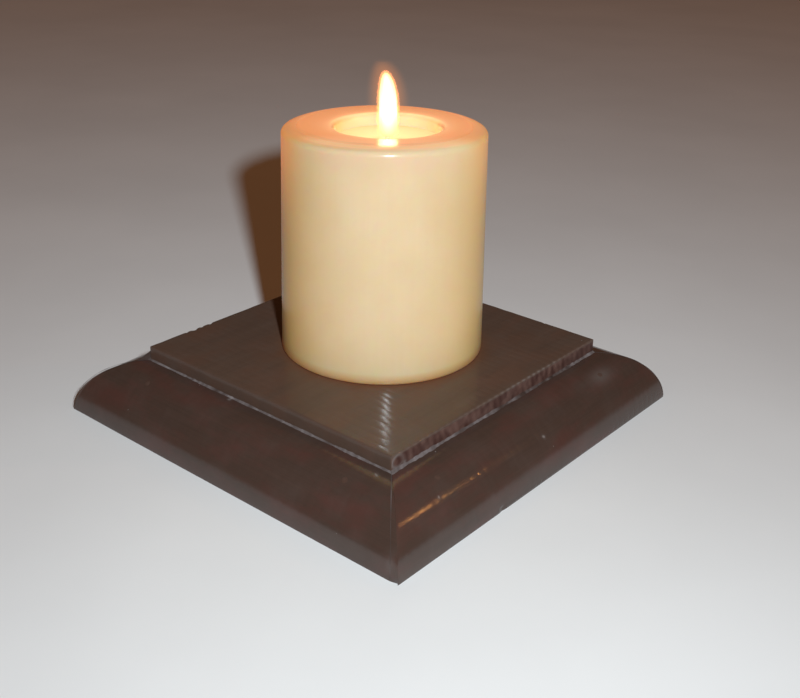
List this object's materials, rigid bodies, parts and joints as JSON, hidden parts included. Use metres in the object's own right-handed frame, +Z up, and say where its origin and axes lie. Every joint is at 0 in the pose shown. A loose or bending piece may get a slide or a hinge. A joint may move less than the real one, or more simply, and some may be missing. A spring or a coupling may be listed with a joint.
{
  "type": "candle stand",
  "caption": "Lit ivory pillar candle standing loose on a square dark-stained wooden plinth edged with mitred quarter-round.",
  "frame": {"origin": "middle of the plinth's underside", "axes": "+Z up; +X and +Y along the plinth's sides, -Y the front and +X the right"},
  "size_m": [0.1542, 0.1542, 0.1201],
  "materials": {
    "stained_wood": "satin",
    "dried_glue": "satin",
    "pin_steel": "satin",
    "wood_filler": "matte",
    "ivory_wax": "satin",
    "liquid_wax": "gloss",
    "wick_cotton": "matte",
    "tinned_steel": "satin",
    "flame": "gloss"
  },
  "bodies": {
    "plinth": {"centre_board": "stained_wood", "front_moulding": "stained_wood", "right_moulding": "stained_wood", "back_moulding": "stained_wood", "left_moulding": "stained_wood", "glue_bead": "dried_glue", "panel_pins": "pin_steel", "pin_filler": "wood_filler"},
    "candle": {"candle_wax": "ivory_wax", "melt_pool": "liquid_wax", "wick": "wick_cotton", "wick_sustainer": "tinned_steel", "flame": "flame"}
  },
  "joints": [
    {"name": "candle_lift", "type": "slide", "parent": "plinth", "child": "candle", "axis": [0, 0, 1], "range_m": [0, 0.08]}
  ]
}
